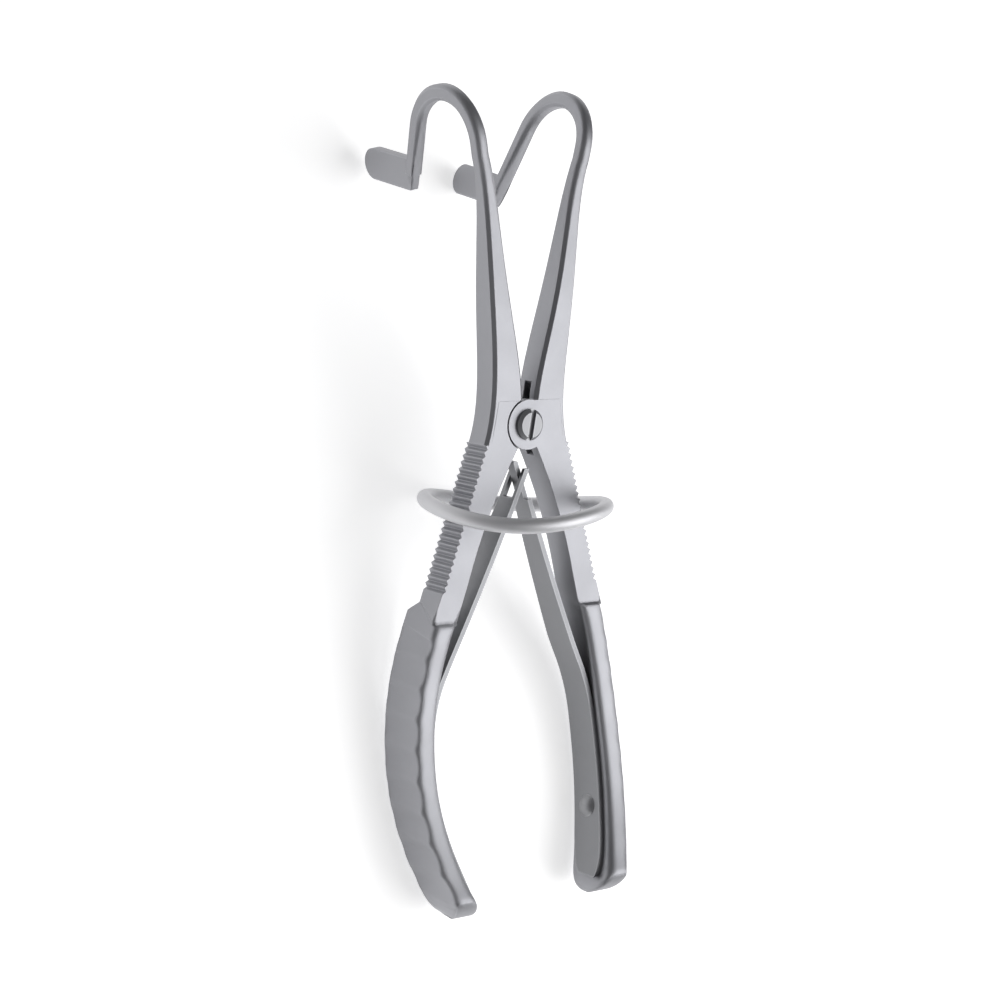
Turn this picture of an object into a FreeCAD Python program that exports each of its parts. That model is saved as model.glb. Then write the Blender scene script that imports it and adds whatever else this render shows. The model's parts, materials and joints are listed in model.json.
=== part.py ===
import FreeCAD, Part
import math
import os
import re
import Sketcher

# Plier-type mouth gag in surgical steel, in millimetres.
# Tool frame: origin on the pivot axis in the front plane of the shanks, +X towards the right arm,
# +Y towards the jaws, +Z out of the front face, where the screw head is.
# The last step lays the instrument down: screw head up, resting on its bite plates and grips.

SIZES = {
    # Joint
    "shank_depth": 7.3,
    "lobe_radius": 5.8,
    "tongue_depth": 2.3,
    "tongue_gap": 0.08,
    "tongue_radius": 5.6,
    "shoulder_gap": 0.35,
    "slot_centre": 7.5,
    "slot_radius": 13.7,
    "screw_radius": 1.8,
    "screw_clearance": 0.03,
    "screw_head_radius": 3.6,
    "screw_head_height": 1.3,
    "screw_slot_width": 1.3,
    "screw_slot_depth": 0.8,
    "screw_slot_turn": 8.0,
    # Jaw side of the arms: how far each edge lies across the tool at a few stations along it
    "root_along": 60.0,
    "root_across": 14.4,
    "root_width": 3.2,
    "root_depth": 3.7,
    "middle_along": 40.0,
    "middle_inner": 8.5,
    "middle_outer": 12.9,
    "middle_depth": 5.6,
    "taper_start": 20.0,
    "taper_inner": 4.35,
    "taper_outer": 11.1,
    "waist_along": 9.0,
    "waist_inner": 2.1,
    "waist_across": 10.4,
    "inner_start": 1.35,
    "edge_bevel": 0.8,
    # Hooks and bite plates
    "hook_lean": 12.0,
    "hook_rise": 2.6,
    "hook_radius": 11.4,
    "leg_slant": 21.0,
    "left_leg": 12.5,
    "right_leg": 16.0,
    "plate_reach": 14.0,
    "plate_radius": 3.7,
    "plate_thickness": 2.3,
    "plate_rise": 9.0,
    # Serrated lower shanks
    "rack_start_across": 12.0,
    "rack_start_along": 4.4,
    "rack_end_across": 23.2,
    "rack_end_along": 40.0,
    "tooth_pitch": 1.58,
    "tooth_depth": 0.7,
    "crotch_across": 2.6,
    "shank_end_inner": 16.4,
    "inner_bow": 130.0,
    # Grips
    "grip_width": 5.4,
    "grip_proud": 1.0,
    "grip_back": 5.2,
    "front_ramp": 0.6,
    "back_ramp": 3.6,
    "bulge_across": 30.0,
    "bulge_along": 79.0,
    "bulge_upper_radius": 105.0,
    "bulge_lower_radius": 75.0,
    "grip_end": 113.5,
    "sweep_start": 52.0,
    "sweep_radius": 115.0,
    "grip_end_round": 8.5,
    "grip_round": 1.6,
    "scallop_pitch": 6.8,
    "scallop_depth": 0.65,
    "scallop_radius": 8.0,
    # Leaf springs
    "spring_thickness": 1.2,
    "spring_width": 8.6,
    "spring_tip_width": 5.4,
    "spring_end": 106.5,
    "spring_leave": 72.0,
    "spring_bow": 40.0,
    "spring_knee_across": 20.2,
    "spring_knee_along": 57.9,
    "spring_sweep": 700.0,
    "spring_cross": 12.5,
    "tongue_width": 2.6,
    "tongue_root": 5.0,
    "tongue_past": 3.8,
    "fork_root": 4.5,
    "prong_past": 2.2,
    "fork_gap": 0.45,
    "rivet_along": 92.0,
    "rivet_radius": 1.5,
    "rivet_depth": 4.0,
    "rivet_head_radius": 2.7,
    "rivet_head_height": 1.1,
    "rivet_lift": 0.06,
    # Locking ring
    "ring_wire": 3.5,
    "ring_radius": 21.2,
    "ring_along": 18.5,
    "ring_tilt": 12.0,
}

doc = FreeCAD.newDocument("mouth_gag")
sheet = doc.addObject("Spreadsheet::Sheet", "sizes")
for row, (alias, value) in enumerate(SIZES.items(), start=1):
    sheet.set(f"A{row}", alias)
    sheet.set(f"B{row}", str(value))
    sheet.setAlias(f"B{row}", alias)
doc.recompute()

WORD = re.compile(r"[a-z]+_[a-z_]+")
ON_YZ = FreeCAD.Rotation(FreeCAD.Vector(1, 1, 1), 120)
EYE = FreeCAD.Rotation()


def bound(text):
    """An expression over the sheet's aliases, as the document writes it."""
    return WORD.sub(lambda word: "sizes." + word.group(0), str(text))


def value(text):
    """The number that an expression over the sheet's aliases has now."""
    found = sheet.evalExpression(bound(text))
    return float(getattr(found, "Value", found))


def arc_between(start, end, radius, side):
    """The arc of a circle from start to end that bulges to the left (side 1) or right (-1)."""
    chord = end - start
    half = chord.Length / 2
    left = FreeCAD.Vector(-chord.y, chord.x, 0).normalize()
    centre = start + chord * 0.5 - left * side * math.sqrt(max(radius**2 - half**2, 0))
    first, last = (end, start) if side > 0 else (start, end)
    angles = [math.atan2(p.y - centre.y, p.x - centre.x) for p in (first, last)]
    if angles[1] < angles[0]:
        angles[1] += 2 * math.pi
    circle = Part.Circle(centre, FreeCAD.Vector(0, 0, 1), radius)
    return Part.ArcOfCircle(circle, *angles)


def outline(sketch, corners, bends=None, closed=True):
    """Draws lines and arcs through the corners, each corner and radius bound to the sheet.
    bends gives, for the stretch after a corner, its radius and the side to which it bulges."""
    bends = bends or {}
    points = [FreeCAD.Vector(value(x), value(y), 0) for x, y in corners]
    count = len(points) if closed else len(points) - 1
    ends = []
    for i in range(count):
        start, end = points[i], points[(i + 1) % len(points)]
        if i in bends:
            radius, side = bends[i]
            made = sketch.addGeometry(arc_between(start, end, value(radius), side), False)
            ends.append((made, 2, 1) if side > 0 else (made, 1, 2))
            rule = sketch.addConstraint([Sketcher.Constraint("Radius", made, value(radius))])[0]
            sketch.setExpression(f"Constraints[{rule}]", bound(radius))
        else:
            made = sketch.addGeometry(Part.LineSegment(start, end), False)
            ends.append((made, 1, 2))
    for i in range(len(points)):
        here = i if i < count else i - 1
        geo, pos = (ends[i][0], ends[i][1]) if i < count else (ends[here][0], ends[here][2])
        for kind, axis in (("DistanceX", 0), ("DistanceY", 1)):
            rule = sketch.addConstraint([Sketcher.Constraint(kind, -1, 1, geo, pos, points[i][axis])])[0]
            sketch.setExpression(f"Constraints[{rule}]", bound(corners[i][axis]))
        if i < count and (closed or i > 0):
            before = ends[i - 1]
            sketch.addConstraint(Sketcher.Constraint("Coincident", before[0], before[2], geo, pos))


def disc(sketch, x, y, radius):
    """A circle bound to the sheet."""
    centre = FreeCAD.Vector(value(x), value(y), 0)
    made = sketch.addGeometry(Part.Circle(centre, FreeCAD.Vector(0, 0, 1), value(radius)), False)
    for kind, size in (("DistanceX", x), ("DistanceY", y)):
        rule = sketch.addConstraint([Sketcher.Constraint(kind, -1, 1, made, 3, value(size))])[0]
        sketch.setExpression(f"Constraints[{rule}]", bound(size))
    rule = sketch.addConstraint([Sketcher.Constraint("Radius", made, value(radius))])[0]
    sketch.setExpression(f"Constraints[{rule}]", bound(radius))


def loose_sketch(name, turn=EYE):
    """A sketch outside a body, on the plan plane or turned onto the side plane."""
    sketch = doc.addObject("Sketcher::SketchObject", name)
    sketch.Placement = FreeCAD.Placement(FreeCAD.Vector(), turn)
    return sketch


def extrude(sketch, name, length):
    """A prism on both sides of a sketch, of the whole length given."""
    prism = doc.addObject("Part::Extrusion", name)
    prism.Base = sketch
    prism.DirMode = "Normal"
    prism.Symmetric = True
    prism.Solid = True
    prism.setExpression("LengthFwd", bound(length))
    return prism


def common(name, first, second):
    both = doc.addObject("Part::MultiCommon", name)
    both.Shapes = [first, second]
    return both


def plane_of(body, role):
    return next(f for f in body.Origin.OriginFeatures if f.Role == role)


def body_sketch(body, name, role, base=("0", "0", "0"), turn=None):
    """A sketch on an origin plane of its body, shifted and turned in that plane's own axes."""
    sketch = body.newObject("Sketcher::SketchObject", name)
    sketch.AttachmentSupport = [(plane_of(body, role), "")]
    sketch.MapMode = "FlatFace"
    if turn:
        axis, angle = turn
        sketch.AttachmentOffset = FreeCAD.Placement(
            FreeCAD.Vector(), FreeCAD.Rotation(axis, value(angle))
        )
        sketch.setExpression("AttachmentOffset.Rotation.Angle", bound(angle) + " * 1 deg")
    for axis_name, size in zip("xyz", base):
        sketch.setExpression(f"AttachmentOffset.Base.{axis_name}", bound(size))
    return sketch


def cut(body, sketch, name, length=None, both=False, up=False):
    """A pocket: right through, or of a length into the metal."""
    pocket = body.newObject("PartDesign::Pocket", name)
    pocket.Profile = sketch
    pocket.Reversed = up
    if both:
        pocket.SideType = "Symmetric"
    if length is None:
        pocket.Type = "ThroughAll"
    else:
        pocket.Type = "Length"
        pocket.setExpression("Length", bound(length))
    return pocket


def edges_where(shape, test):
    """Names of a shape's open edges whose two ends pass a test."""
    names = []
    for i, edge in enumerate(shape.Edges, start=1):
        if len(edge.Vertexes) == 2 and test(*(v.Point for v in edge.Vertexes)):
            names.append(f"Edge{i}")
    return names


def span(radius, offset):
    """How far a circle's edge lies from its centre line, at an offset along that line."""
    return f"sqrt(({radius})^2 - ({offset})^2)"


# Where the grip's two faces lie across the tool: arcs that meet at the bulge.
UPPER = "bulge_across - bulge_upper_radius + "
LOWER = "bulge_across - bulge_lower_radius + "
MID_DEPTH = "shank_depth / 2"
SLOT_DEPTH = "(tongue_depth + 2 * tongue_gap)"
CHEEK = f"((shank_depth - {SLOT_DEPTH}) / 2)"
GRIP_BACK_RADIUS = "sweep_radius + shank_depth + grip_back"
GRIP_TOP = "(rack_end_along + front_ramp)"
SPRING_MIDDLE = "(sweep_radius + (shank_depth + grip_back - grip_proud) / 2)"


def mirrored(corners, side):
    return [(f"{side} * ({x})", y) for x, y in corners]


def plan_of_arm(name, side, joint_radius):
    """The joint, serrated shank and grip seen from the front. Side is 1 for the right arm, -1 for the left."""
    end_outer = "grip_end - grip_width * 0.35"
    upper = f"bulge_along - {GRIP_TOP}"
    upper_outer = UPPER + span("bulge_upper_radius", upper)
    upper_inner = UPPER + span("bulge_upper_radius - grip_width", upper)
    lower = f"{end_outer} - bulge_along"
    corners = [
        ("rack_start_across", "-rack_start_along"),
        ("rack_end_across", "-rack_end_along"),
        (upper_outer, f"-{GRIP_TOP}"),
        ("bulge_across", "-bulge_along"),
        (LOWER + span("bulge_lower_radius", lower), f"-({end_outer})"),
        (LOWER + span("bulge_lower_radius - grip_width", lower), f"-({end_outer})"),
        ("bulge_across - grip_width", "-bulge_along"),
        (upper_inner, f"-{GRIP_TOP}"),
        ("shank_end_inner", "-rack_end_along"),
        ("crotch_across", "-" + span(joint_radius, "crotch_across")),
        (f"-{joint_radius}", "0"),
        ("inner_start", span(joint_radius, "inner_start")),
        ("waist_across - 2 * edge_bevel", span(joint_radius, "inner_start")),
        ("rack_start_across - 2 * edge_bevel", "-rack_start_along"),
    ]
    bends = {
        2: ("bulge_upper_radius", side),
        3: ("bulge_lower_radius", side),
        4: ("grip_width * 0.6", side),
        5: ("bulge_lower_radius - grip_width", -side),
        6: ("bulge_upper_radius - grip_width", -side),
        8: ("inner_bow", -side),
        9: (joint_radius, side),
        10: (joint_radius, side),
    }
    sketch = loose_sketch(name + "_plan")
    outline(sketch, mirrored(corners, side), bends)
    return sketch


def swept(radius, along):
    """Height of a grip face of this sweep radius, at a place along the grip."""
    return f"sweep_radius - {span(radius, f'{along} - sweep_start')}"


def side_of_arm(name):
    """The same stretch seen from the side: a flat shank and a deep grip that sweeps forward."""
    front_end, back_end = "(grip_end - grip_end_round)", "(grip_end - grip_end_round / 2)"
    front_radius = "sweep_radius - grip_proud"
    corners = [
        ("lobe_radius + 1", "0"),
        ("-rack_end_along", "0"),
        (f"-{GRIP_TOP}", "grip_proud"),
        ("-sweep_start", "grip_proud"),
        (f"-{front_end}", swept(front_radius, front_end)),
        (f"-{back_end}", swept(GRIP_BACK_RADIUS, back_end)),
        ("-sweep_start", "-(shank_depth + grip_back)"),
        ("-(rack_end_along + back_ramp)", "-(shank_depth + grip_back)"),
        ("-rack_end_along", "-shank_depth"),
        ("lobe_radius + 1", "-shank_depth"),
    ]
    bends = {3: (front_radius, 1), 4: ("grip_end_round", -1), 5: (GRIP_BACK_RADIUS, -1)}
    sketch = loose_sketch(name + "_side", ON_YZ)
    outline(sketch, corners, bends)
    return sketch


def pierce(name, blank, radius, clearance, place):
    """Cuts the round hole for a spring rivet, square to the grip's inner face."""
    drill = doc.addObject("Part::Cylinder", name + "_drill")
    drill.setExpression("Radius", bound(f"{radius} + {clearance}"))
    drill.setExpression("Height", bound("2 * rivet_depth"))
    drill.Placement = place.multiply(
        FreeCAD.Placement(FreeCAD.Vector(0, 0, -value("rivet_depth")), EYE)
    )
    holed = doc.addObject("Part::Cut", name + "_holed")
    holed.Base = blank
    holed.Tool = drill
    return holed


def rivet_place(side):
    """Where a spring's rivet sits on the grip's inner face, its axis pointing into the grip."""
    along = value("rivet_along - bulge_along")
    reach = value("bulge_lower_radius - grip_width")
    angle = math.degrees(math.asin(along / reach))
    centre_across = value("bulge_across - bulge_lower_radius")
    across = centre_across + reach * math.cos(math.radians(angle))
    height = value(swept(SPRING_MIDDLE, "rivet_along"))
    spot = FreeCAD.Vector(side * across, -value("rivet_along"), height)
    turn = FreeCAD.Rotation(FreeCAD.Vector(0, 0, 1), -angle if side > 0 else 180 + angle)
    face_out = FreeCAD.Rotation(FreeCAD.Vector(0, 1, 0), 90)
    return FreeCAD.Placement(spot, turn.multiply(face_out))


def hook_turn(side):
    """Seen from the front, the plane of a hook leans outwards."""
    return FreeCAD.Vector(0, -side, 0), "hook_lean"


def bevelled(sketch, left, right, low, high):
    """A rectangle with its corners bevelled."""
    corners = [
        (right, f"{low} + edge_bevel"),
        (right, f"{high} - edge_bevel"),
        (f"{right} - edge_bevel", high),
        (f"{left} + edge_bevel", high),
        (left, f"{high} - edge_bevel"),
        (left, f"{low} + edge_bevel"),
        (f"{left} + edge_bevel", low),
        (f"{right} - edge_bevel", low),
    ]
    outline(sketch, corners)


def add_jaw_shank(body, name, side):
    """The bevelled shank above the joint: a loft through its sections up to the root of the hook."""
    stations = (
        ("foot", "-rack_start_along", "crotch_across", "rack_start_across", "shank_depth"),
        ("waist", "waist_along", "waist_inner", "waist_across", "shank_depth"),
        ("taper", "taper_start", "taper_inner", "taper_outer", "shank_depth"),
        ("middle", "middle_along", "middle_inner", "middle_outer", "middle_depth"),
    )
    sections = []
    for station, along, inner, outer, depth in stations:
        sketch = body_sketch(body, f"{name}_{station}_section", "XZ_Plane", ("0", "0", f"-({along})"))
        left, right = (inner, outer) if side > 0 else (f"-{outer}", f"-{inner}")
        bevelled(sketch, left, right, f"-{MID_DEPTH} - {depth} / 2", f"-{MID_DEPTH} + {depth} / 2")
        sections.append(sketch)
    root = (f"{side} * root_across", f"-{MID_DEPTH}", "-root_along")
    sketch = body_sketch(body, name + "_root_section", "XZ_Plane", root, hook_turn(side))
    bevelled(sketch, "-root_width / 2", "root_width / 2", "-root_depth / 2", "root_depth / 2")
    doc.recompute()
    loft = body.newObject("PartDesign::AdditiveLoft", name + "_jaw_shank")
    loft.Profile = sections[0]
    loft.Sections = sections[1:] + [sketch]
    doc.recompute()
    return sketch


def add_hook(body, name, side, leg, section):
    """The bent end of the arm: a bevelled bar that rises, turns over backwards and comes down slanting."""
    rise = ("hook_rise", "0")
    slant = "leg_slant * 1 deg"
    turned = (f"hook_rise + hook_radius * sin({slant})", f"-hook_radius * (1 + cos({slant}))")
    foot = (f"{turned[0]} - {leg} * cos({slant})", f"{turned[1]} - {leg} * sin({slant})")
    base = ("root_along", f"-{MID_DEPTH}", f"{side} * root_across")
    spine = body_sketch(body, name + "_hook_line", "YZ_Plane", base, hook_turn(side))
    outline(spine, [("0", "0"), rise, turned, foot], {1: ("hook_radius", 1)}, closed=False)
    doc.recompute()
    hook = body.newObject("PartDesign::AdditivePipe", name + "_hook")
    hook.Profile = section
    hook.Spine = (spine, ["Edge1", "Edge2", "Edge3"])
    doc.recompute()
    reach_end = (
        f"{foot[0]} + plate_reach * sin(plate_rise * 1 deg)",
        f"{foot[1]} - plate_reach * cos(plate_rise * 1 deg)",
    )
    along = ("sin(plate_rise * 1 deg)", "-cos(plate_rise * 1 deg)")
    across = ("cos(plate_rise * 1 deg)", "sin(plate_rise * 1 deg)")

    def off(point, way, sign):
        return tuple(f"{p} {sign} plate_radius * ({w})" for p, w in zip(point, way))

    plate = body_sketch(body, name + "_plate_outline", "YZ_Plane", base, hook_turn(side))
    corners = [
        off(foot, across, "+"),
        off(reach_end, across, "+"),
        off(reach_end, along, "+"),
        off(reach_end, across, "-"),
        off(foot, across, "-"),
        off(foot, along, "-"),
    ]
    outline(plate, corners, {i: ("plate_radius", 1) for i in (1, 2, 4, 5)})
    doc.recompute()
    tongue = body.newObject("PartDesign::Pad", name + "_bite_plate")
    tongue.Profile = plate
    tongue.SideType = "Symmetric"
    tongue.setExpression("Length", bound("plate_thickness"))
    doc.recompute()
    return tongue


def add_teeth(body, name, side):
    """V-shaped teeth for the locking ring, cut one after the other along the outer edge."""
    run = "(rack_end_along - rack_start_along)"
    rise = "(rack_end_across - rack_start_across)"
    lean = f"atan({rise} / {run})"
    angle = value(lean)
    sketch = body.newObject("Sketcher::SketchObject", name + "_tooth")
    sketch.AttachmentSupport = [(plane_of(body, "XY_Plane"), "")]
    sketch.MapMode = "FlatFace"
    turn = FreeCAD.Rotation(FreeCAD.Vector(0, 0, side), angle)
    sketch.AttachmentOffset = FreeCAD.Placement(FreeCAD.Vector(), turn)
    sketch.setExpression("AttachmentOffset.Rotation.Angle", bound(lean))
    half = f"tooth_pitch / 2"
    across = f"{side} * (rack_start_across + {half} * sin({lean}))"
    along = f"-(rack_start_along + {half} * cos({lean}))"
    sketch.setExpression("AttachmentOffset.Base.x", bound(across))
    sketch.setExpression("AttachmentOffset.Base.y", bound(along))
    mouth = "tooth_pitch * 0.6"
    spill = "tooth_depth * 0.3"
    corners = [(f"{side} * -tooth_depth", "0"), (f"{side} * {spill}", mouth), (f"{side} * {spill}", f"-{mouth}")]
    outline(sketch, corners)
    doc.recompute()
    notch = cut(body, sketch, name + "_tooth_cut", "grip_end", both=True)
    doc.recompute()
    rack = body.newObject("PartDesign::LinearPattern", name + "_teeth")
    rack.Originals = [notch]
    rack.Direction = (sketch, ["V_Axis"])
    rack.Reversed = True
    count = f"(floor(sqrt({run}^2 + {rise}^2) / tooth_pitch) - 1)"
    rack.setExpression("Occurrences", bound(count))
    rack.setExpression("Length", bound(f"({count} - 1) * tooth_pitch"))
    body.Tip = rack
    doc.recompute()
    return rack


def add_scallops(body, name, side, radius, sense, start, count):
    """Shallow finger scallops along one arc of the grip's outer face."""
    base = (f"{side} * (bulge_across - {radius})", "-bulge_along", "0")
    sketch = body_sketch(body, f"{name}_scallop_{radius}", "XY_Plane", base)
    step = f"(scallop_pitch / {radius} * 1 rad)"
    reach = f"({radius} + scallop_radius - scallop_depth)"
    spot = f"{start} * {step}"
    disc(sketch, f"{side} * {reach} * cos({spot})", f"{sense} * {reach} * sin({spot})", "scallop_radius")
    doc.recompute()
    hollow = cut(body, sketch, f"{name}_scallop_cut_{radius}", "2 * grip_end", both=True)
    doc.recompute()
    wave = body.newObject("PartDesign::PolarPattern", f"{name}_scallops_{radius}")
    wave.Originals = [hollow]
    wave.Axis = (sketch, ["N_Axis"])
    wave.Reversed = side * sense < 0
    wave.Occurrences = count
    wave.setExpression("Angle", bound(f"{count - 1} * {step}"))
    body.Tip = wave
    doc.recompute()
    return wave




def arm(name, side, leg):
    """One forged arm: jaw hook, shank, half of the joint, serrated edge and grip."""
    joint_radius = "lobe_radius" if side > 0 else "tongue_radius"
    plan = plan_of_arm(name, side, joint_radius)
    profile = side_of_arm(name)
    doc.recompute()
    blank = common(
        name + "_blank",
        extrude(plan, name + "_plan_prism", "grip_end"),
        extrude(profile, name + "_side_prism", "grip_end"),
    )
    holed = pierce(name, blank, "rivet_radius", "0", rivet_place(side))
    body = doc.addObject("PartDesign::Body", name)
    body.BaseFeature = holed
    doc.recompute()
    soften(body, name)
    root = add_jaw_shank(body, name, side)
    if side > 0:
        add_slot(body, name)
    else:
        add_tongue(body, name)
    bore = body_sketch(body, name + "_bore_outline", "XY_Plane")
    disc(bore, "0", "0", "screw_radius" if side > 0 else "screw_radius + screw_clearance")
    doc.recompute()
    cut(body, bore, name + "_bore")
    doc.recompute()
    add_teeth(body, name, side)
    add_scallops(body, name, side, "bulge_upper_radius", 1, 0.5, 5)
    add_scallops(body, name, side, "bulge_lower_radius", -1, 0.5, 4)
    add_hook(body, name, side, leg, root)
    return body


def soften(body, name):
    """Bevels the grip's front edges and rounds its back ones.
    One edge of each run is named, and what carries on smoothly from it follows."""
    low, high = -value("bulge_along"), -value("sweep_start")

    def runs_along(start, end):
        return abs(min(start.y, end.y) - low) < 0.5 and abs(max(start.y, end.y) - high) < 0.5

    def on_back(start, end):
        return runs_along(start, end) and start.z < -value(MID_DEPTH)

    def on_front(start, end):
        return runs_along(start, end) and start.z > -value(MID_DEPTH)

    steps = (
        ("PartDesign::Fillet", "_grip_rounds", "Radius", "grip_round", on_back),
        ("PartDesign::Chamfer", "_grip_bevels", "Size", "edge_bevel", on_front),
    )
    for kind, ending, field, size, test in steps:
        before = body.Tip
        softened = body.newObject(kind, name + ending)
        softened.Base = (before, edges_where(before.Shape, test))
        softened.setExpression(field, bound(size))
        softened.Refine = False
        doc.recompute()


def add_slot(body, name):
    """The saw-cut between the right arm's cheeks, which takes the other arm's tongue."""
    floor = ("0", "0", f"-{CHEEK}")
    sketch = body_sketch(body, name + "_slot_outline", "XY_Plane", floor)
    disc(sketch, "-slot_centre", "0", "slot_radius")
    doc.recompute()
    cut(body, sketch, name + "_slot", SLOT_DEPTH)
    doc.recompute()


def add_tongue(body, name):
    """Leaves the left arm only its middle layer round the pivot, with hollow shoulders for the cheeks."""
    relief = "lobe_radius + shoulder_gap"
    cheek = "(shank_depth - tongue_depth) / 2"
    front = body_sketch(body, name + "_front_shoulder_outline", "XY_Plane")
    disc(front, "0", "0", relief)
    back = body_sketch(body, name + "_back_shoulder_outline", "XY_Plane", ("0", "0", "-shank_depth"))
    disc(back, "0", "0", relief)
    doc.recompute()
    cut(body, front, name + "_front_shoulder", cheek)
    doc.recompute()
    cut(body, back, name + "_back_shoulder", cheek, up=True)
    doc.recompute()


def spring_line(name, side, past):
    """The middle line of a leaf spring seen from the front, from its end on the grip to its tip."""
    rise = "(spring_knee_along - spring_cross)"
    chord = f"sqrt(spring_knee_across^2 + {rise}^2)"
    lean = f"(atan(spring_knee_across / {rise}) - asin({chord} / (2 * spring_sweep)))"
    inset = "(grip_width + spring_thickness / 2)"
    lower, upper = f"(bulge_lower_radius - {inset})", f"(bulge_upper_radius - {inset})"
    corners = [
        (LOWER + span(lower, "spring_end - bulge_along"), "-spring_end"),
        (f"bulge_across - {inset}", "-bulge_along"),
        (UPPER + span(upper, "bulge_along - spring_leave"), "-spring_leave"),
        ("spring_knee_across", "-spring_knee_along"),
        ("0", "-spring_cross"),
        (f"-{past} * sin({lean})", f"{past} * cos({lean}) - spring_cross"),
    ]
    bends = {0: (lower, -side), 1: (upper, -side), 2: ("spring_bow", -side), 3: ("spring_sweep", side)}
    sketch = loose_sketch(name + "_line")
    outline(sketch, mirrored(corners, side), bends, closed=False)
    return sketch


def spring_side(name, forked, past):
    """A leaf spring seen from the side: wide on the grip, narrow above, with a tongue or a fork."""
    front, back = f"({SPRING_MIDDLE} - spring_width / 2)", f"({SPRING_MIDDLE} + spring_width / 2)"
    tip = f"({past} - spring_cross)"
    narrow = "-(spring_cross + tongue_root)"
    slot = "-(spring_cross + fork_root)"
    half_tip, half_tongue = "spring_tip_width / 2", "tongue_width / 2"
    half_fork = "(tongue_width / 2 + fork_gap)"
    if forked:
        end = [
            (tip, f"{half_tip} - {MID_DEPTH}"),
            (tip, f"{half_fork} - {MID_DEPTH}"),
            (slot, f"{half_fork} - {MID_DEPTH}"),
            (slot, f"-{half_fork} - {MID_DEPTH}"),
            (tip, f"-{half_fork} - {MID_DEPTH}"),
            (tip, f"-{half_tip} - {MID_DEPTH}"),
        ]
    else:
        end = [
            (narrow, f"{half_tongue} - {MID_DEPTH}"),
            (tip, f"{half_tongue} - {MID_DEPTH}"),
            (tip, f"-{half_tongue} - {MID_DEPTH}"),
            (narrow, f"-{half_tongue} - {MID_DEPTH}"),
        ]
    corners = [
        ("-sweep_start", f"sweep_radius - {front}"),
        ("-spring_end", swept(front, "spring_end")),
        ("-spring_end", swept(back, "spring_end")),
        ("-sweep_start", f"sweep_radius - {back}"),
        (narrow, f"-{half_tip} - {MID_DEPTH}"),
        *reversed(end),
        (narrow, f"{half_tip} - {MID_DEPTH}"),
    ]
    sketch = loose_sketch(name + "_side", ON_YZ)
    outline(sketch, corners, {0: (front, 1), 2: (back, -1)})
    return sketch


def leaf_spring(name, side, forked):
    """A leaf spring riveted inside a grip. The tongue of one spring passes through the other's fork."""
    past = "prong_past" if forked else "tongue_past"
    line = spring_line(name, side, past)
    profile = spring_side(name, forked, past)
    doc.recompute()
    strip = doc.addObject("Part::Offset2D", name + "_strip")
    strip.Source = line
    strip.Fill = True
    strip.setExpression("Value", bound("spring_thickness / 2"))
    blank = common(
        name + "_blank",
        extrude(strip, name + "_strip_prism", "grip_end"),
        extrude(profile, name + "_side_prism", "grip_end"),
    )
    holed = pierce(name, blank, "rivet_radius", "0", rivet_place(side))
    doc.recompute()
    return holed


def turned_body(name, corners, bends=None):
    """A body turned on its z axis from half of its outline."""
    body = doc.addObject("PartDesign::Body", name)
    sketch = body_sketch(body, name + "_half", "XZ_Plane")
    outline(sketch, corners, bends)
    doc.recompute()
    turned = body.newObject("PartDesign::Revolution", name + "_turned")
    turned.Profile = sketch
    turned.ReferenceAxis = (sketch, ["V_Axis"])
    turned.Angle = 360
    doc.recompute()
    return body


def spring_rivet(name, side):
    """A domed rivet: shank in the grip, head on the spring."""
    seat = "-(spring_thickness + rivet_lift)"
    crown = f"{seat} - rivet_head_height"
    corners = [
        ("0", "rivet_depth"),
        ("0", crown),
        ("rivet_head_radius", seat),
        ("rivet_radius", seat),
        ("rivet_radius", "rivet_depth"),
    ]
    dome = "((rivet_head_radius^2 + rivet_head_height^2) / (2 * rivet_head_height))"
    body = turned_body(name, corners, {1: (dome, -1)})
    body.Placement = rivet_place(side)
    return body


def pivot_screw(name):
    """The slotted screw that pins the two arms together."""
    rim = "screw_head_height * 0.5"
    corners = [
        ("0", "-shank_depth"),
        ("screw_radius", "-shank_depth"),
        ("screw_radius", "0"),
        ("screw_head_radius", "0"),
        ("screw_head_radius", rim),
        ("screw_head_radius * 0.8", "screw_head_height"),
        ("0", "screw_head_height"),
    ]
    body = turned_body(name, corners)
    turn = (FreeCAD.Vector(0, 0, -1), "screw_slot_turn")
    slot = body_sketch(body, name + "_slot_outline", "XY_Plane", ("0", "0", "screw_head_height"), turn)
    wide, long = "screw_slot_width / 2", "screw_head_radius * 1.1"
    outline(slot, [(f"-{wide}", f"-{long}"), (wide, f"-{long}"), (wide, long), (f"-{wide}", long)])
    doc.recompute()
    cut(body, slot, name + "_slot", "screw_slot_depth")
    doc.recompute()
    return body


def locking_ring(name):
    """The closed wire ring round both shanks, hanging a little lower in front."""
    ring = doc.addObject("Part::Torus", name)
    ring.setExpression("Radius1", bound("ring_radius"))
    ring.setExpression("Radius2", bound("ring_wire / 2"))
    turn = FreeCAD.Rotation(FreeCAD.Vector(1, 0, 0), 90 + value("ring_tilt"))
    ring.Placement = FreeCAD.Placement(FreeCAD.Vector(0, -value("ring_along"), -value(MID_DEPTH)), turn)
    doc.recompute()
    return ring


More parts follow.
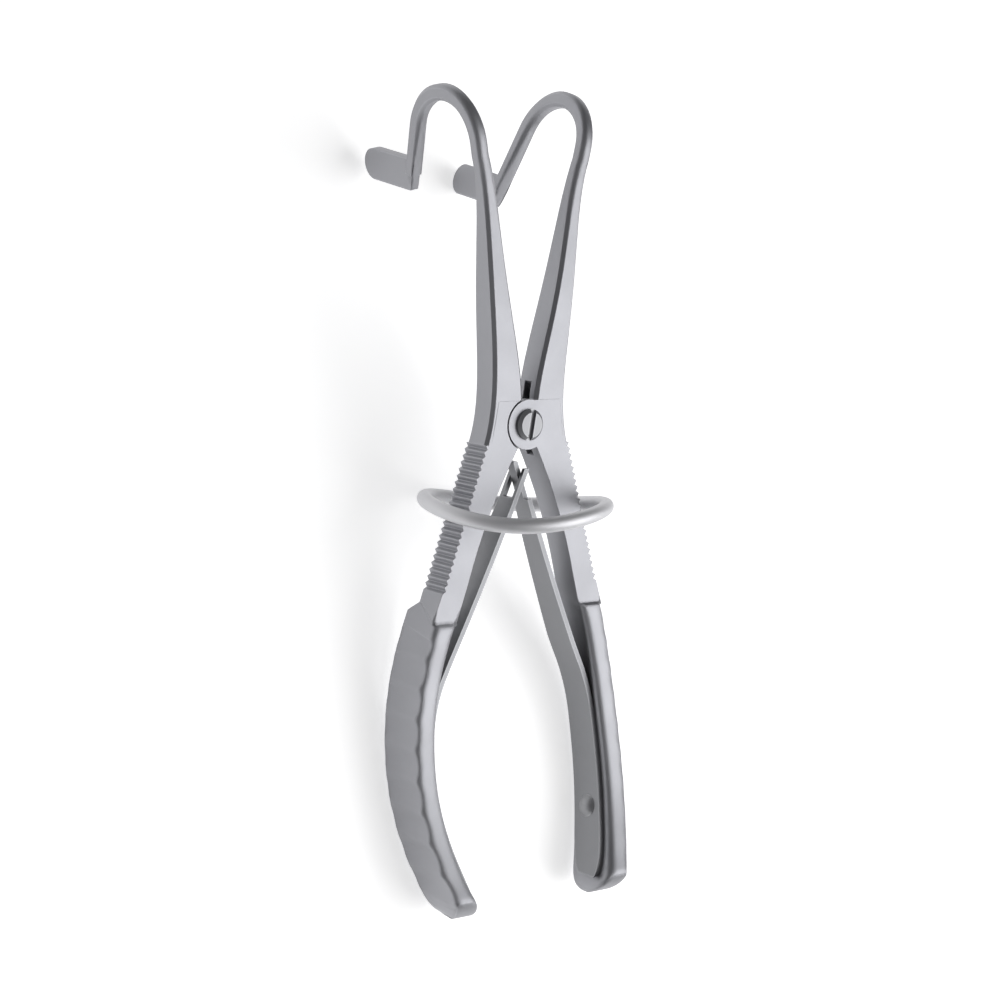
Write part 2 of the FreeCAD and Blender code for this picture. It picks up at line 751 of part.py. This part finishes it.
def rest_turn():
    """Angle by which the tool pitches when it lies on its longer bite plate and the backs of its grips."""
    slant, rise = math.radians(value("leg_slant")), math.radians(value("plate_rise"))
    turned = value("hook_radius")
    up = value("hook_rise") + turned * math.sin(slant) - value("right_leg") * math.cos(slant)
    up += value("plate_reach") * math.sin(rise)
    back = turned * (1 + math.cos(slant)) + value("right_leg") * math.sin(slant)
    back += value("plate_reach") * math.cos(rise)
    along = value("root_along") + up * math.cos(math.radians(value("hook_lean"))) + value("sweep_start")
    deep = value("sweep_radius") + value(MID_DEPTH) + back
    reach = value(GRIP_BACK_RADIUS) - value("plate_radius")
    return math.degrees(math.acos(reach / math.hypot(along, deep)) - math.atan2(along, deep))


pieces = {
    "right_arm": arm("right_arm_forging", 1, "right_leg"),
    "left_arm": arm("left_arm_forging", -1, "left_leg"),
    "pivot_screw": pivot_screw("pivot_screw_metal"),
    "right_spring": leaf_spring("right_spring_strip", 1, False),
    "left_spring": leaf_spring("left_spring_strip", -1, True),
    "right_spring_rivet": spring_rivet("right_rivet_metal", 1),
    "left_spring_rivet": spring_rivet("left_rivet_metal", -1),
    "locking_ring": locking_ring("locking_ring_wire"),
}


def whole_box():
    box = FreeCAD.BoundBox()
    for piece in pieces.values():
        box.add(piece.Shape.optimalBoundingBox(False))
    return box


# Lay the tool down, then bring the middle of its footprint to the origin.
laid = FreeCAD.Placement(FreeCAD.Vector(), FreeCAD.Rotation(FreeCAD.Vector(1, 0, 0), rest_turn()))
for node, piece in pieces.items():
    piece.Label = node
    piece.Placement = laid.multiply(piece.Placement)
doc.recompute()
box = whole_box()
shift = FreeCAD.Placement(FreeCAD.Vector(-box.Center.x, -box.Center.y, -box.ZMin), EYE)
for piece in pieces.values():
    piece.Placement = shift.multiply(piece.Placement)
doc.recompute()

for made in doc.Objects:
    if "Invalid" in made.State or "Error" in made.State:
        raise RuntimeError(f"{made.Name} did not build: {made.State}")
    if made.isDerivedFrom("PartDesign::Feature") and (made.Shape.isNull() or not made.Shape.isValid()):
        raise RuntimeError(f"{made.Name} has no valid shape")

os.makedirs("parts", exist_ok=True)
for node, piece in pieces.items():
    if piece.Shape.isNull() or not piece.Shape.isValid() or len(piece.Shape.Solids) != 1:
        raise RuntimeError(f"{node} is not one valid solid")
    piece.Shape.exportStep(f"parts/{node}.step")
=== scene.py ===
# %% [markdown]
# # Plier-type mouth gag
#
# A surgical tool in satin steel: two forged arms that cross at a slotted screw, two leaf springs inside the
# handles, and a wire ring that slides along the serrated shanks and holds them where the surgeon sets them.
# The screw and the rivets come from the CAD model as they are. The arms get what a grinder does to them by
# hand, the ring is bent, and the springs are replaced with copies whose lower ends are rounded. The rest of
# the script is the steel, the floor, the lights and the camera.

import json
import math

import bmesh
import bpy
import numpy as np
from mathutils import Matrix, Vector


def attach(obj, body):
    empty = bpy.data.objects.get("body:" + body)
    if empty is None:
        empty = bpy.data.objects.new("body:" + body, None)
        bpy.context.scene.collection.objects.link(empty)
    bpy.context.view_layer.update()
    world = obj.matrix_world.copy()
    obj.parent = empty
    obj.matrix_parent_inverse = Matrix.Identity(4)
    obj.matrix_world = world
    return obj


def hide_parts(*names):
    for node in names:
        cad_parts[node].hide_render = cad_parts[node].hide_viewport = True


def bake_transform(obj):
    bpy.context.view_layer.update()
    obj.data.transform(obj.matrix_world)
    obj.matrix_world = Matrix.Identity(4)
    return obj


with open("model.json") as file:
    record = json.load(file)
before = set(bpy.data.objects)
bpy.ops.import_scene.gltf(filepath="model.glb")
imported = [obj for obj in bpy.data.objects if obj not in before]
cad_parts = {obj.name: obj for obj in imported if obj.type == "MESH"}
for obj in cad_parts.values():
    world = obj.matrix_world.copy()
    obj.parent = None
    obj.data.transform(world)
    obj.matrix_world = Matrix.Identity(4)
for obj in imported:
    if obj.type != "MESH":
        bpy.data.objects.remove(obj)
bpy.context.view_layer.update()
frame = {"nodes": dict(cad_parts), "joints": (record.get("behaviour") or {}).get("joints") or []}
nodes = frame["nodes"]
joints = {joint["name"]: joint for joint in frame["joints"]}
print("CAD pieces:", ", ".join(sorted(nodes)))

# %% [markdown]
# ## Where the tool lies
#
# The tool rests on its bite plates and the backs of its grips, so it is pitched on the floor. Its own axes
# are easier to think in: *across* it, *along* it towards the jaws, and *out* of its front face. The pivot's
# axis in the record is exactly that last direction, so the other two follow from it.

# %% The tool's own axes
MM = 0.001
OUT = Vector(joints["jaw_pivot"]["axis"]).normalized()
ACROSS = Vector((1, 0, 0))
ALONG = OUT.cross(ACROSS)
SHANK_DEPTH = 7.3 * MM
PIVOT = Vector(joints["jaw_pivot"]["pos_m"]) + OUT * SHANK_DEPTH / 2
MIDDLE_OUT = -SHANK_DEPTH / MM / 2


def in_tool(across, along, out):
    """The place in the scene of a point in the tool's own axes, in millimetres from its pivot's front."""
    return PIVOT + (ACROSS * across + ALONG * along + OUT * out) * MM


def tool_place(point):
    """A point of the scene in millimetres in the tool's own axes: across, along and out."""
    away = (point - PIVOT) / MM
    return away.dot(ACROSS), away.dot(ALONG), away.dot(OUT)


pitch = math.degrees(math.asin(ALONG.z))
print(f"The tool is pitched {pitch:.1f} degrees; its pivot is {PIVOT.z / MM:.1f} mm above the floor")

# %% [markdown]
# ## The camera
#
# The photograph looks at the tool from its front, turned to one side and a little from the jaw end. Three
# angles, a distance and the place of the pivot in the picture say all of that, so the camera is worked out
# from them and not placed by eye.

# %% The camera
PICTURE = 1000
PIVOT_PIXEL = (528.8, 424.6)
TURN = math.radians(38)
RISE = math.radians(8)
ROLL = math.radians(2.6)
DISTANCE = 0.54
PIXELS_PER_METRE = 4400
SENSOR = 36
NEAREST, FARTHEST = 0.05, 20


def turned(first, second, angle):
    """Two perpendicular directions, both turned by the angle in their own plane."""
    return (
        first * math.cos(angle) + second * math.sin(angle),
        second * math.cos(angle) - first * math.sin(angle),
    )


unraised = ACROSS * math.sin(TURN) - OUT * math.cos(TURN)
right = ACROSS * math.cos(TURN) + OUT * math.sin(TURN)
forward = unraised * math.cos(RISE) - ALONG * math.sin(RISE)
upward = right.cross(forward)
right, upward = turned(right, upward, ROLL)

offset_right = (PIVOT_PIXEL[0] - PICTURE / 2) / PIXELS_PER_METRE
offset_up = (PICTURE / 2 - PIVOT_PIXEL[1]) / PIXELS_PER_METRE
place = PIVOT - forward * DISTANCE - right * offset_right - upward * offset_up

camera = bpy.data.objects.new("camera", bpy.data.cameras.new("camera"))
bpy.context.scene.collection.objects.link(camera)
camera.matrix_world = Matrix.Translation(place) @ Matrix((right, upward, -forward)).transposed().to_4x4()
camera.data.sensor_width = SENSOR
camera.data.lens = SENSOR * PIXELS_PER_METRE * DISTANCE / PICTURE
camera.data.clip_start = NEAREST
camera.data.clip_end = FARTHEST
bpy.context.scene.camera = camera
print(f"Camera with a {camera.data.lens:.0f} mm lens, {place.z / MM:.0f} mm above the floor")

# %% [markdown]
# ## The floor and the light
#
# A printed catalogue picture has a white ground and broad soft light. The floor is a pale sheet, lit a little
# from below like a light table, that reaches past the picture on every side. The key light stands where the
# flat fronts mirror it into the camera, so they are bright, and the flanks, which mirror the dim studio and
# the floor, stay dark grey.

# %% The floor
FLOOR_REACH = 3.0
PAPER_WHITE = 0.93
PAPER_ROUGHNESS = 0.9
PAPER_GLOW = 0.58
corners = [(-1, -1, 0), (1, -1, 0), (1, 1, 0), (-1, 1, 0)]
floor_mesh = bpy.data.meshes.new("floor")
floor_mesh.from_pydata([[FLOOR_REACH * value for value in corner] for corner in corners], [], [(0, 1, 2, 3)])
floor = bpy.data.objects.new("floor", floor_mesh)
bpy.context.scene.collection.objects.link(floor)

paper = bpy.data.materials.new("paper")
paper.use_nodes = True
paper_shader = paper.node_tree.nodes["Principled BSDF"]
paper_shader.inputs["Base Color"].default_value = (PAPER_WHITE, PAPER_WHITE, PAPER_WHITE, 1)
paper_shader.inputs["Roughness"].default_value = PAPER_ROUGHNESS
paper_shader.inputs["Emission Color"].default_value = (1, 1, 1, 1)
paper_shader.inputs["Emission Strength"].default_value = PAPER_GLOW
floor_mesh.materials.append(paper)

# %% The lights
KEY_DISTANCE, KEY_SIZE, KEY_BRIGHTNESS = 0.9, 0.9, 2.65
OVERHEAD_DISTANCE, OVERHEAD_SIZE, OVERHEAD_BRIGHTNESS = 1.1, 0.5, 1.4
STUDIO_TINT = (0.92, 0.92, 0.94, 1)
STUDIO_BRIGHTNESS = 0.15
view_forward = forward.normalized()
mirrored_view = view_forward - OUT * 2 * view_forward.dot(OUT)


def soft_light(name, direction, distance, size, brightness):
    """A square area light of a given brightness, at a distance in metres, aimed at the pivot."""
    lamp = bpy.data.lights.new(name, "AREA")
    lamp.size = size
    lamp.energy = brightness * math.pi * size**2
    holder = bpy.data.objects.new(name, lamp)
    bpy.context.scene.collection.objects.link(holder)
    heading = Vector(direction).normalized()
    turn = (-heading).to_track_quat("-Z", "Y").to_matrix().to_4x4()
    holder.matrix_world = Matrix.Translation(PIVOT + heading * distance) @ turn


soft_light("key", mirrored_view, KEY_DISTANCE, KEY_SIZE, KEY_BRIGHTNESS)
soft_light("overhead", OUT, OVERHEAD_DISTANCE, OVERHEAD_SIZE, OVERHEAD_BRIGHTNESS)

world = bpy.data.worlds.new("studio")
bpy.context.scene.world = world
world.use_nodes = True
background = world.node_tree.nodes["Background"]
background.inputs["Color"].default_value = STUDIO_TINT
background.inputs["Strength"].default_value = STUDIO_BRIGHTNESS
bpy.context.scene.view_settings.view_transform = "Standard"

# %% [markdown]
# ## Satin steel
#
# Instrument steel is blasted or brushed to a soft grey so that it doesn't dazzle. Three things make it read
# as metal: a fine grain that runs along the part, cloudy patches where the finish is a little duller, and
# a painted highlight that makes the colour brighter along every edge. The arms have a fourth: their edges
# are rounded, a little on the shanks and much more on the grips and the hooks. Each is a node group, and
# every steel here shares the first three.


# %% Helpers for node groups
def new_group(name, inputs, outputs):
    """An empty shader group with float inputs {name: default} and outputs {name: socket kind}."""
    group = bpy.data.node_groups.new(name, "ShaderNodeTree")
    for label, default in inputs.items():
        socket = group.interface.new_socket(label, in_out="INPUT", socket_type="NodeSocketFloat")
        socket.default_value = default
    for label, kind in outputs.items():
        group.interface.new_socket(label, in_out="OUTPUT", socket_type=kind)
    entry = group.nodes.new("NodeGroupInput")
    leave = group.nodes.new("NodeGroupOutput")
    return group, entry, leave


def feed(tree, socket, source):
    """Links a socket to the source, or sets it where the source is a number."""
    if isinstance(source, bpy.types.NodeSocket):
        tree.links.new(source, socket)
    else:
        socket.default_value = source


def arithmetic(tree, operation, *sources, clamp=False):
    """A Math node fed by sockets or numbers."""
    node = tree.nodes.new("ShaderNodeMath")
    node.operation = operation
    node.use_clamp = clamp
    for socket, source in zip(node.inputs, sources):
        feed(tree, socket, source)
    return node.outputs["Value"]


def fade(tree, value, start, end, at_start, at_end):
    """A value that changes from one level to another while the given one goes from start to end."""
    node = tree.nodes.new("ShaderNodeMapRange")
    feed(tree, node.inputs["Value"], value)
    feed(tree, node.inputs["From Min"], start)
    feed(tree, node.inputs["From Max"], end)
    feed(tree, node.inputs["To Min"], at_start)
    feed(tree, node.inputs["To Max"], at_end)
    return node.outputs["Result"]


# %% Grain along the part
GRAIN_LINES = 9000
GRAIN_STRETCH = 0.03
GRAIN_DETAIL = 3
grain, entry, leave = new_group(
    "grain along the part",
    {"Lines per metre": GRAIN_LINES, "Stretch": GRAIN_STRETCH},
    {"Height": "NodeSocketFloat"},
)
coordinates = grain.nodes.new("ShaderNodeTexCoord")
stretch = grain.nodes.new("ShaderNodeCombineXYZ")
stretch.inputs["X"].default_value = 1
stretch.inputs["Z"].default_value = 1
grain.links.new(entry.outputs["Stretch"], stretch.inputs["Y"])
scaled = grain.nodes.new("ShaderNodeVectorMath")
scaled.operation = "MULTIPLY"
grain.links.new(coordinates.outputs["Object"], scaled.inputs[0])
grain.links.new(stretch.outputs["Vector"], scaled.inputs[1])
streaks = grain.nodes.new("ShaderNodeTexNoise")
streaks.inputs["Detail"].default_value = GRAIN_DETAIL
grain.links.new(scaled.outputs["Vector"], streaks.inputs["Vector"])
grain.links.new(entry.outputs["Lines per metre"], streaks.inputs["Scale"])
grain.links.new(streaks.outputs["Fac"], leave.inputs["Height"])

# %% Cloudy patches
CLOUD_PATCHES = 90
CLOUD_STRENGTH = 0.25
CLOUD_DETAIL = 4
NOISE_MIDDLE = 0.5
clouds, entry, leave = new_group(
    "cloudy patches",
    {"Patches per metre": CLOUD_PATCHES, "Strength": CLOUD_STRENGTH},
    {"Value": "NodeSocketFloat"},
)
coordinates = clouds.nodes.new("ShaderNodeTexCoord")
patches = clouds.nodes.new("ShaderNodeTexNoise")
patches.inputs["Detail"].default_value = CLOUD_DETAIL
clouds.links.new(coordinates.outputs["Object"], patches.inputs["Vector"])
clouds.links.new(entry.outputs["Patches per metre"], patches.inputs["Scale"])
centred = arithmetic(clouds, "SUBTRACT", patches.outputs["Fac"], NOISE_MIDDLE)
patch = arithmetic(clouds, "MULTIPLY", centred, entry.outputs["Strength"])
clouds.links.new(patch, leave.inputs["Value"])

# %% Painted edge highlight
HIGHLIGHT_REACH = 0.6 * MM
HIGHLIGHT_STRENGTH = 0.8
HIGHLIGHT_GAIN = 6
HIGHLIGHT_SAMPLES = 4
# The base colour is painted brighter along every edge, where the rounded normal turns from the flat one: a
# painted highlight.
highlight_group, entry, leave = new_group(
    "painted edge highlight",
    {"Reach": HIGHLIGHT_REACH, "Strength": HIGHLIGHT_STRENGTH},
    {"Mask": "NodeSocketFloat"},
)
flat = highlight_group.nodes.new("ShaderNodeNewGeometry")
rounded = highlight_group.nodes.new("ShaderNodeBevel")
rounded.samples = HIGHLIGHT_SAMPLES
highlight_group.links.new(entry.outputs["Reach"], rounded.inputs["Radius"])
agreement = highlight_group.nodes.new("ShaderNodeVectorMath")
agreement.operation = "DOT_PRODUCT"
highlight_group.links.new(flat.outputs["Normal"], agreement.inputs[0])
highlight_group.links.new(rounded.outputs["Normal"], agreement.inputs[1])
edge = arithmetic(highlight_group, "SUBTRACT", 1, agreement.outputs["Value"])
edge = arithmetic(highlight_group, "MULTIPLY", edge, HIGHLIGHT_GAIN)
edge = arithmetic(highlight_group, "MULTIPLY", edge, entry.outputs["Strength"], clamp=True)
highlight_group.links.new(edge, leave.inputs["Mask"])

# %% Rounded edges of the arms
SHANK_ROUNDING, GRIP_ROUNDING, HOOK_ROUNDING = 0.3 * MM, 2.4 * MM, 1.3 * MM
GRIP_FADE = (-45 * MM, -41 * MM)
HOOK_FADE = (35 * MM, 58 * MM)
ROUNDING_SAMPLES = 8
rounded_grips, entry, leave = new_group(
    "rounded grips",
    {"Shank radius": SHANK_ROUNDING, "Grip radius": GRIP_ROUNDING, "Hook radius": HOOK_ROUNDING},
    {"Normal": "NodeSocketVector"},
)
coordinates = rounded_grips.nodes.new("ShaderNodeTexCoord")
lengthwise = rounded_grips.nodes.new("ShaderNodeVectorMath")
lengthwise.operation = "DOT_PRODUCT"
rounded_grips.links.new(coordinates.outputs["Object"], lengthwise.inputs[0])
lengthwise.inputs[1].default_value = ALONG
pivot_along = PIVOT.dot(ALONG)
grip_radius = fade(
    rounded_grips,
    lengthwise.outputs["Value"],
    pivot_along + GRIP_FADE[0],
    pivot_along + GRIP_FADE[1],
    entry.outputs["Grip radius"],
    entry.outputs["Shank radius"],
)
hook_radius = fade(
    rounded_grips,
    lengthwise.outputs["Value"],
    pivot_along + HOOK_FADE[0],
    pivot_along + HOOK_FADE[1],
    0,
    entry.outputs["Hook radius"],
)
softened = rounded_grips.nodes.new("ShaderNodeBevel")
softened.samples = ROUNDING_SAMPLES
radius = arithmetic(rounded_grips, "MAXIMUM", grip_radius, hook_radius)
rounded_grips.links.new(radius, softened.inputs["Radius"])
rounded_grips.links.new(softened.outputs["Normal"], leave.inputs["Normal"])
print("Finish groups:", ", ".join(group.name for group in bpy.data.node_groups))

# %% A steel from these groups
# DULL darkens the cloudy patches; the other two give the painted edge highlight its tone and its limit.
DULL, EDGE_HIGHLIGHT_TONE, EDGE_HIGHLIGHT_CEILING = 0.86, 1.3, 0.95
CLEAN_SHARE = 0.6
GRAIN_ROUGHNESS = 0.12
CLOUD_ROUGHNESS = 0.5
RELIEF_STRENGTH = 0.6


def place_group(tree, group):
    """A node in the tree that stands for a group, with the group's own values."""
    node = tree.nodes.new("ShaderNodeGroup")
    node.node_tree = group
    return node


def colour_mix(tree, first, second, share):
    """One colour turning into another as the share goes from 0 to 1."""
    node = tree.nodes.new("ShaderNodeMix")
    node.data_type = "RGBA"
    feed(tree, node.inputs["A"], first)
    feed(tree, node.inputs["B"], second)
    tree.links.new(share, node.inputs["Factor"])
    return node.outputs["Result"]


def steel(name, colour, roughness, bump=0.02 * MM, stretch_by=GRAIN_STRETCH, rounding=False):
    """Metal of one colour, whose roughness and tone drift, with a fine grain and a painted highlight on its
    edges.
    """
    material = bpy.data.materials.new(name)
    material.use_nodes = True
    tree = material.node_tree
    shader = tree.nodes["Principled BSDF"]
    shader.inputs["Metallic"].default_value = 1

    patch = place_group(tree, clouds).outputs["Value"]
    # Painted highlight: this mask makes the colour brighter along the edges.
    highlight_mask = place_group(tree, highlight_group).outputs["Mask"]
    lines = place_group(tree, grain)
    lines.inputs["Stretch"].default_value = stretch_by

    dull = tuple(channel * DULL for channel in colour)
    bright = tuple(min(channel * EDGE_HIGHLIGHT_TONE, EDGE_HIGHLIGHT_CEILING) for channel in colour)
    clean = arithmetic(tree, "ADD", patch, CLEAN_SHARE, clamp=True)
    tone = colour_mix(tree, (*dull, 1), (*colour, 1), clean)
    tree.links.new(colour_mix(tree, tone, (*bright, 1), highlight_mask), shader.inputs["Base Color"])

    smoothest = roughness - GRAIN_ROUGHNESS / 2
    uneven = arithmetic(tree, "MULTIPLY_ADD", lines.outputs["Height"], GRAIN_ROUGHNESS, smoothest)
    drift = arithmetic(tree, "MULTIPLY", patch, CLOUD_ROUGHNESS)
    tree.links.new(arithmetic(tree, "ADD", uneven, drift), shader.inputs["Roughness"])

    relief = tree.nodes.new("ShaderNodeBump")
    relief.inputs["Distance"].default_value = bump
    relief.inputs["Strength"].default_value = RELIEF_STRENGTH
    tree.links.new(lines.outputs["Height"], relief.inputs["Height"])
    if rounding:
        tree.links.new(place_group(tree, rounded_grips).outputs["Normal"], relief.inputs["Normal"])
    tree.links.new(relief.outputs["Normal"], shader.inputs["Normal"])
    return material


# %% The steels
arm_steel = steel("satin arm steel", (0.38, 0.382, 0.405), 0.5, rounding=True)
spring_steel = steel("spring steel", (0.27, 0.273, 0.285), 0.45)
screw_steel = steel("turned screw steel", (0.34, 0.343, 0.355), 0.5, stretch_by=1)
ring_steel = steel("ring wire", (0.74, 0.74, 0.76), 0.6, bump=0.01 * MM)


def give_finish(piece, finish):
    """Makes this the only material of a piece."""
    piece.data.materials.clear()
    piece.data.materials.append(finish)


turned_pieces = ("pivot_screw", "right_spring_rivet", "left_spring_rivet")
for name in turned_pieces:
    give_finish(nodes[name], screw_steel)
print("Finished", len(turned_pieces), "CAD pieces")

# %% [markdown]
# ## The arms
#
# The forgings keep the CAD model's shape, apart from three things that grinding does to them by hand. The
# step where a grip begins is lowered on its front, so that its shoulder slants. The end of each grip is
# dressed to a blunt half-round. The heel of each bite plate is filed level with the front of its hook. All
# three are made on a copy, whose loose triangles are joined first. The grip's end has too few points to be
# rounded with, so sections are cut through it, and each is drawn in towards the middle of the grip.

# %% Joining and finishing a CAD mesh
MERGE = 0.01 * MM
SHARP_TURN = math.radians(30)


def merged_copy(name, label):
    """A new piece with a node's shape, and that shape with its triangles joined, ready to be worked on."""
    mesh = nodes[name].data.copy()
    piece = bpy.data.objects.new(label, mesh)
    bpy.context.scene.collection.objects.link(piece)
    shape = bmesh.new()
    shape.from_mesh(mesh)
    bmesh.ops.remove_doubles(shape, verts=shape.verts, dist=MERGE)
    return piece, shape


def finish_mesh(piece, shape):
    """Writes the shape back, smooth within its faces and sharp where two of them meet at an edge."""
    for edge in shape.edges:
        edge.smooth = len(edge.link_faces) == 2 and edge.calc_face_angle() < SHARP_TURN
    for face in shape.faces:
        face.smooth = True
    shape.to_mesh(piece.data)
    shape.free()


# %% Rounding an end
SIDEWAYS, LENGTHWISE, IN_DEPTH = 0, 1, 2
FRONT_STOPS, BACK_STOPS = 4.6, 2.0
STOP_SHARPNESS = 4
END_SECTIONS = 20
END_TRIM = 0.02
END_BLUNT = 0.5
SECTION_NEAR = 0.01


def cut_section(shape, along):
    """Cuts the piece across at this height, and gives the section's lowest and highest place in two ways."""
    everything = shape.verts[:] + shape.edges[:] + shape.faces[:]
    bmesh.ops.bisect_plane(shape, geom=everything, plane_co=in_tool(0, along, 0), plane_no=ALONG)
    places = [tool_place(vertex.co) for vertex in shape.verts]
    section = [place for place in places if abs(place[LENGTHWISE] - along) < SECTION_NEAR]
    return {
        way: (min(place[way] for place in section), max(place[way] for place in section))
        for way in (SIDEWAYS, IN_DEPTH)
    }


def round_end(shape, length, way):
    """Draws the lower end of a piece in, section by section, so that the end is half-round in one way.

    A grip, which is rounded sideways, already ends in a curve when it is seen from the side: its front and
    its back stop higher than its middle.
    """
    last = min(tool_place(vertex.co)[LENGTHWISE] for vertex in shape.verts)
    top = last + FRONT_STOPS + length
    cuts = np.linspace(last + END_TRIM, top, END_SECTIONS)
    sections = [cut_section(shape, cut) for cut in cuts]
    low, high = sections[-1][IN_DEPTH]
    low_above, high_above = cut_section(shape, top + length)[IN_DEPTH]
    slope = (high_above + low_above - high - low) / 2 / length
    half_depth = (high - low) / 2
    middles = [sum(section[way]) / 2 for section in sections]
    for vertex in shape.verts:
        place = list(tool_place(vertex.co))
        if place[LENGTHWISE] >= top:
            continue
        stops = 0
        if way == SIDEWAYS:
            middle_depth = (high + low) / 2 + slope * (place[LENGTHWISE] - top)
            level = (place[IN_DEPTH] - middle_depth) / half_depth
            stops = (FRONT_STOPS if level > 0 else BACK_STOPS) * min(level**STOP_SHARPNESS, 1)
        beyond = (last + stops + length - place[LENGTHWISE]) / length
        if beyond > 0:
            draw = math.sqrt(max(1 - beyond**2, 0)) * (1 - END_BLUNT) + END_BLUNT
            middle = np.interp(place[LENGTHWISE], cuts, middles)
            place[way] = middle + (place[way] - middle) * draw
            vertex.co = in_tool(*place)


# %% Lowering the step
STEP_STARTS, STEP_ENDS, STEP_FADES = -40.0, -40.6, -50.0
STEP_SPARE = 0.1
GRIP_SPREAD = 0.385


def lower_step(shape, side, drop):
    """Lowers the front end of the step where a grip begins. Its back end stays, so the shoulder slants."""
    for vertex in shape.verts:
        across, along, out = tool_place(vertex.co)
        if out > -STEP_SPARE and STEP_FADES < along < STEP_STARTS + STEP_SPARE:
            share = min((along - STEP_FADES) / (STEP_ENDS - STEP_FADES), 1)
            vertex.co = in_tool(across + side * GRIP_SPREAD * drop * share, along - drop * share, out)


# %% Filing the heel
ROOT_ACROSS, ROOT_ALONG = 14.4, 60.0
HOOK_LEAN = math.radians(12)
HOOK_RISE = 2.6
HOOK_RADIUS = 11.4
HOOK_BAR = 3.7
LEG_SLANT = math.radians(21)
BEND_SPARE = 2.0


def file_heel(shape, side):
    """Files the heel of the bite plate level with the front of the hook's leg."""
    hook_out = OUT * math.cos(HOOK_LEAN) - ACROSS * side * math.sin(HOOK_LEAN)
    leg_front = hook_out * math.cos(LEG_SLANT) - ALONG * math.sin(LEG_SLANT)
    root = in_tool(side * ROOT_ACROSS, ROOT_ALONG, MIDDLE_OUT)
    bend_drop = HOOK_RADIUS * (1 + math.cos(LEG_SLANT))
    bend_end = ALONG * (HOOK_RISE + HOOK_RADIUS * math.sin(LEG_SLANT)) - hook_out * bend_drop
    front = leg_front.dot(bend_end) + HOOK_BAR / 2
    below = bend_end.dot(ALONG) - BEND_SPARE
    for vertex in shape.verts:
        place = (vertex.co - root) / MM
        proud = leg_front.dot(place) - front
        if proud > 0 and hook_out.dot(place) < -HOOK_RADIUS and ALONG.dot(place) < below:
            vertex.co -= leg_front * proud * MM


# %% The two arms
GRIP_END = 3.4
RIGHT_DROP, LEFT_DROP = 2.6, 4.4
arms = (
    ("right_arm", "right_half", 1, RIGHT_DROP),
    ("left_arm", "left_half", -1, LEFT_DROP),
)
for name, body, side, drop in arms:
    arm, shape = merged_copy(name, name + "_forging")
    lower_step(shape, side, drop)
    round_end(shape, GRIP_END, SIDEWAYS)
    file_heel(shape, side)
    finish_mesh(arm, shape)
    give_finish(arm, arm_steel)
    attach(arm, body)
    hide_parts(name)
    print(name, "has", len(arm.data.polygons), "faces")

# %% [markdown]
# ## The locking ring
#
# The ring is bent from round wire and isn't flat: two opposite sides dip towards the handles, and it hangs
# turned a little round the shanks. Its centre line is a circle with that dip added, and the wire is drawn
# round it section by section.

# %% The ring's centre line
RING_RADIUS, RING_WIRE = 20.9, 3.5
RING_ALONG = -18.2
RING_DIP = 3.0
RING_TILT = math.radians(-1.4)
RING_TURN = math.radians(38)
RING_STEPS, WIRE_STEPS = 120, 24
turns = np.linspace(0, 2 * np.pi, RING_STEPS, endpoint=False)
frontness = np.sin(turns - RING_TURN)
line = np.stack(
    [
        RING_RADIUS * np.cos(turns),
        RING_ALONG - RING_DIP * frontness**2 - RING_RADIUS * math.tan(RING_TILT) * frontness,
        RING_RADIUS * np.sin(turns) + MIDDLE_OUT,
    ],
    axis=1,
)

# %% The wire round it
along_wire = np.roll(line, -1, axis=0) - np.roll(line, 1, axis=0)
along_wire /= np.linalg.norm(along_wire, axis=1, keepdims=True)
outward = np.stack([np.cos(turns), np.zeros(RING_STEPS), np.sin(turns)], axis=1)
outward -= along_wire * np.sum(outward * along_wire, axis=1, keepdims=True)
outward /= np.linalg.norm(outward, axis=1, keepdims=True)
beside = np.cross(along_wire, outward)
around = np.linspace(0, 2 * np.pi, WIRE_STEPS, endpoint=False)
surface = (
    line[:, None, :]
    + RING_WIRE / 2 * np.cos(around)[None, :, None] * outward[:, None, :]
    + RING_WIRE / 2 * np.sin(around)[None, :, None] * beside[:, None, :]
)
tool_axes = np.array([ACROSS, ALONG, OUT])
surface = surface.reshape(-1, 3) @ tool_axes * MM + np.array(PIVOT)
quads = []
for step in range(RING_STEPS):
    here = step * WIRE_STEPS
    after = (step + 1) % RING_STEPS * WIRE_STEPS
    for turn in range(WIRE_STEPS):
        next_turn = (turn + 1) % WIRE_STEPS
        quads.append((here + turn, here + next_turn, after + next_turn, after + turn))

# %% The ring
ring_mesh = bpy.data.meshes.new("bent_ring")
ring_mesh.from_pydata(surface.tolist(), [], quads)
ring_mesh.polygons.foreach_set("use_smooth", [True] * len(quads))
ring_mesh.materials.append(ring_steel)
ring = bpy.data.objects.new("bent_ring", ring_mesh)
bpy.context.scene.collection.objects.link(ring)
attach(ring, "ring")
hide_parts("locking_ring")

# %% [markdown]
# ## The springs
#
# Squeezing the handles bends both leaf springs, and at their tips the tongue of one passes through the fork
# of the other. A CAD solid can't bend, and each spring is copied to a piece of its own that keeps its CAD
# shape, except that the lower end of each leaf is rounded in its depth.

# %% The two springs
LEAF_END = 9.0
springs = (
    ("right_spring", "right_half", "left_half"),
    ("left_spring", "left_half", "right_half"),
)
for name, own, other in springs:
    strip, shape = merged_copy(name, name + "_leaf")
    round_end(shape, LEAF_END, IN_DEPTH)
    finish_mesh(strip, shape)
    give_finish(strip, spring_steel)
    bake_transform(strip)
    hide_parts(name)
